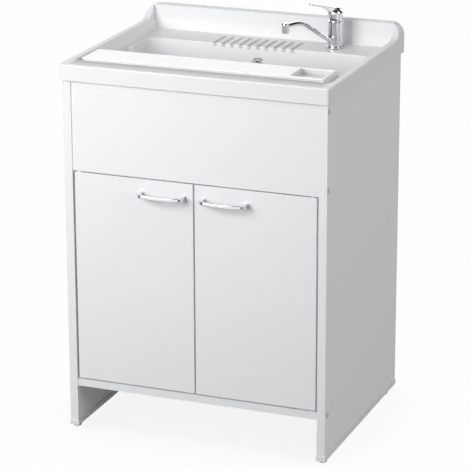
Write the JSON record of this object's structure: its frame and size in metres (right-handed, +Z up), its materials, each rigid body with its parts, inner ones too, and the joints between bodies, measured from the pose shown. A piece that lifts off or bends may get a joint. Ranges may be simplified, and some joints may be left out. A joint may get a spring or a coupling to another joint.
{
  "type": "sink cabinet",
  "caption": "White two-door utility sink cabinet with moulded plastic basin, lift-off washboard, ribbed drainer ledge, chrome lever tap and bow handles on a melamine carcass",
  "frame": {"origin": "on the floor under the centre of the overall box", "axes": "+X to the right seen from the front, the doors face -Y, +Z up"},
  "size_m": [0.6, 0.5264, 0.8987],
  "materials": {
    "melamine": "white melamine-faced particle board, satin",
    "basin_plastic": "white moulded plastic, satin gloss",
    "trim_plastic": "white moulded plastic, matte",
    "foot_plastic": "white moulded plastic, matte",
    "chrome_plate": "polished chrome plating",
    "steel_fittings": "zinc-plated steel, satin",
    "tap_brass": "turned brass, unplated",
    "cartridge_plastic": "moulded cartridge plastic, matte",
    "seal_rubber": "black rubber, matte",
    "pipe_plastic": "white polypropylene pipe, matte",
    "dowel_wood": "beech dowel, plain",
    "magnet_iron": "ferrite and iron catch magnets, dull"
  },
  "bodies": {
    "cabinet": {"base_panel": "melamine", "front_panel": "melamine", "left_side_panel": "melamine", "right_side_panel": "melamine", "rear_top_rail": "melamine", "rear_bottom_rail": "melamine", "basin": "basin_plastic", "left_bottom_trim": "trim_plastic", "right_bottom_trim": "trim_plastic", "screw_caps": "trim_plastic", "catch_body": "trim_plastic", "left_front_foot": "foot_plastic", "left_rear_foot": "foot_plastic", "right_front_foot": "foot_plastic", "right_rear_foot": "foot_plastic", "tap_base_ring": "chrome_plate", "tap_body": "chrome_plate", "overflow_rosette": "chrome_plate", "basin_brackets": "steel_fittings", "bracket_screws": "steel_fittings", "catch_screws": "steel_fittings", "lower_pivot_pins": "steel_fittings", "upper_pivot_pins": "steel_fittings", "panel_screws": "steel_fittings", "waste_screw": "steel_fittings", "waste_strainer": "steel_fittings", "tap_washer": "steel_fittings", "tap_shank": "tap_brass", "tap_nut": "tap_brass", "tap_cartridge": "cartridge_plastic", "tap_gasket": "seal_rubber", "waste_gasket": "seal_rubber", "outlet_nut": "pipe_plastic", "overflow_elbow": "pipe_plastic", "overflow_pipe": "pipe_plastic", "trap_body": "pipe_plastic", "trap_cup": "pipe_plastic", "trap_nut": "pipe_plastic", "trap_outlet_pipe": "pipe_plastic", "waste_body": "pipe_plastic", "panel_dowels": "dowel_wood", "catch_magnets": "magnet_iron"},
    "left_leaf": {"left_door": "melamine", "left_handle": "chrome_plate", "left_handle_screws": "steel_fittings", "left_pivot_bushes": "trim_plastic", "left_strike_plate": "steel_fittings"},
    "right_leaf": {"right_door": "melamine", "right_handle": "chrome_plate", "right_handle_screws": "steel_fittings", "right_pivot_bushes": "trim_plastic", "right_strike_plate": "steel_fittings"},
    "spout_arm": {"spout": "chrome_plate", "spout_aerator": "chrome_plate"},
    "lever_carriage": {"cartridge_stem": "tap_brass", "tap_bonnet": "chrome_plate", "lever_pin": "tap_brass"},
    "lever": {"tap_lever": "chrome_plate"},
    "board_lift": {"washboard": "basin_plastic"}
  },
  "joints": [
    {"name": "left_door_hinge", "type": "hinge", "parent": "cabinet", "child": "left_leaf", "pos_m": [-0.262, -0.22075, 0.117], "axis": [0, 0, -1], "range_deg": [0, 105]},
    {"name": "right_door_hinge", "type": "hinge", "parent": "cabinet", "child": "right_leaf", "pos_m": [0.262, -0.22075, 0.117], "axis": [0, 0, 1], "range_deg": [0, 105]},
    {"name": "spout_swivel", "type": "hinge", "parent": "cabinet", "child": "spout_arm", "pos_m": [0.16, 0.20125, 0.808], "axis": [0, 0, 1], "range_deg": [-56, 118]},
    {"name": "lever_turn", "type": "hinge", "parent": "cabinet", "child": "lever_carriage", "pos_m": [0.16, 0.20125, 0.856], "axis": [0, 0, 1], "range_deg": [-45, 45]},
    {"name": "lever_lift", "type": "hinge", "parent": "lever_carriage", "child": "lever", "pos_m": [0.16755, 0.21244, 0.856], "axis": [-0.829, 0.5592, 0], "range_deg": [0, 22]},
    {"name": "washboard_lift", "type": "slide", "parent": "cabinet", "child": "board_lift", "axis": [0, 0, 1], "range_m": [0, 0.2]}
  ]
}
